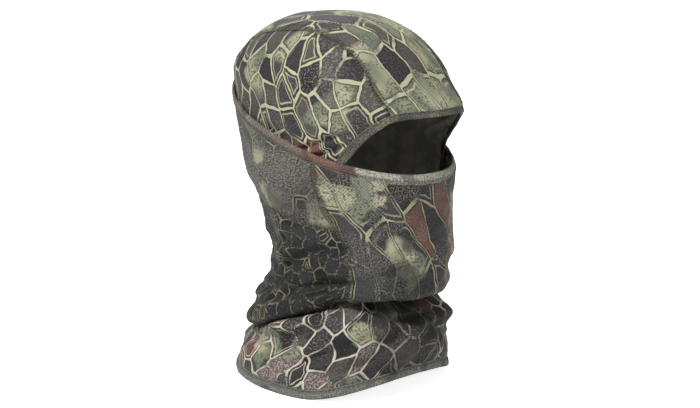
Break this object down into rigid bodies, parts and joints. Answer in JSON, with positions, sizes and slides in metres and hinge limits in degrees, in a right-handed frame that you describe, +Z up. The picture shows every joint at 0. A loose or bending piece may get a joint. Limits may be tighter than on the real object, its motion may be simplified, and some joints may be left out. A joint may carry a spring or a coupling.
{
  "type": "balaclava",
  "caption": "Stretch balaclava hood with a bound brow edge, an outer mask that covers nose and mouth, and a neck skirt with a bound bottom edge.",
  "frame": {"origin": "centre of the outline on the resting plane, in the middle of the neck opening", "axes": "+Z up, -Y the way the wearer looks, +X the wearer's left"},
  "size_m": [0.1654, 0.2075, 0.296],
  "materials": {
    "camo_jersey": "printed polyester jersey, matte",
    "birdseye_mesh": "printed birdseye mesh, matte",
    "binding": "folded jersey binding, matte",
    "thread": "spun polyester thread"
  },
  "bodies": {
    "hood": {"crown_center_panel": "camo_jersey", "crown_side_panel_right": "camo_jersey", "crown_side_panel_left": "camo_jersey", "cheek_binding_right": "binding", "cheek_binding_left": "binding", "face_panel": "birdseye_mesh", "neck_skirt": "camo_jersey", "ear_band_right": "camo_jersey", "ear_band_left": "camo_jersey", "neck_panel_right": "camo_jersey", "neck_panel_left": "camo_jersey", "bottom_binding": "binding", "crown_seam_thread_right": "thread", "crown_seam_thread_left": "thread", "face_seam_thread_right": "thread", "face_seam_thread_left": "thread", "band_seam_thread_right": "thread", "band_seam_thread_left": "thread", "back_seam_thread": "thread", "skirt_seam_thread": "thread", "skirt_back_seam_thread": "thread", "bottom_stitching": "thread"},
    "mask_edge": {"mask_hem": "binding", "mask_hem_stitching": "thread"},
    "brow_edge": {"brow_binding": "binding", "brow_stitching": "thread"}
  },
  "joints": [
    {"name": "mask_slide", "type": "slide", "parent": "hood", "child": "mask_edge", "axis": [0, 0, -1], "range_m": [0, 0.05], "deforming": ["face_panel", "ear_band_left", "ear_band_right", "neck_panel_left", "neck_panel_right", "face_seam_thread_left", "face_seam_thread_right", "band_seam_thread_left", "band_seam_thread_right", "back_seam_thread"]},
    {"name": "brow_lift", "type": "hinge", "parent": "hood", "child": "brow_edge", "pos_m": [0, 0.01, 0.174], "axis": [-1, 0, 0], "range_deg": [0, 12], "deforming": ["crown_center_panel", "crown_side_panel_left", "crown_side_panel_right", "crown_seam_thread_left", "crown_seam_thread_right"]}
  ]
}
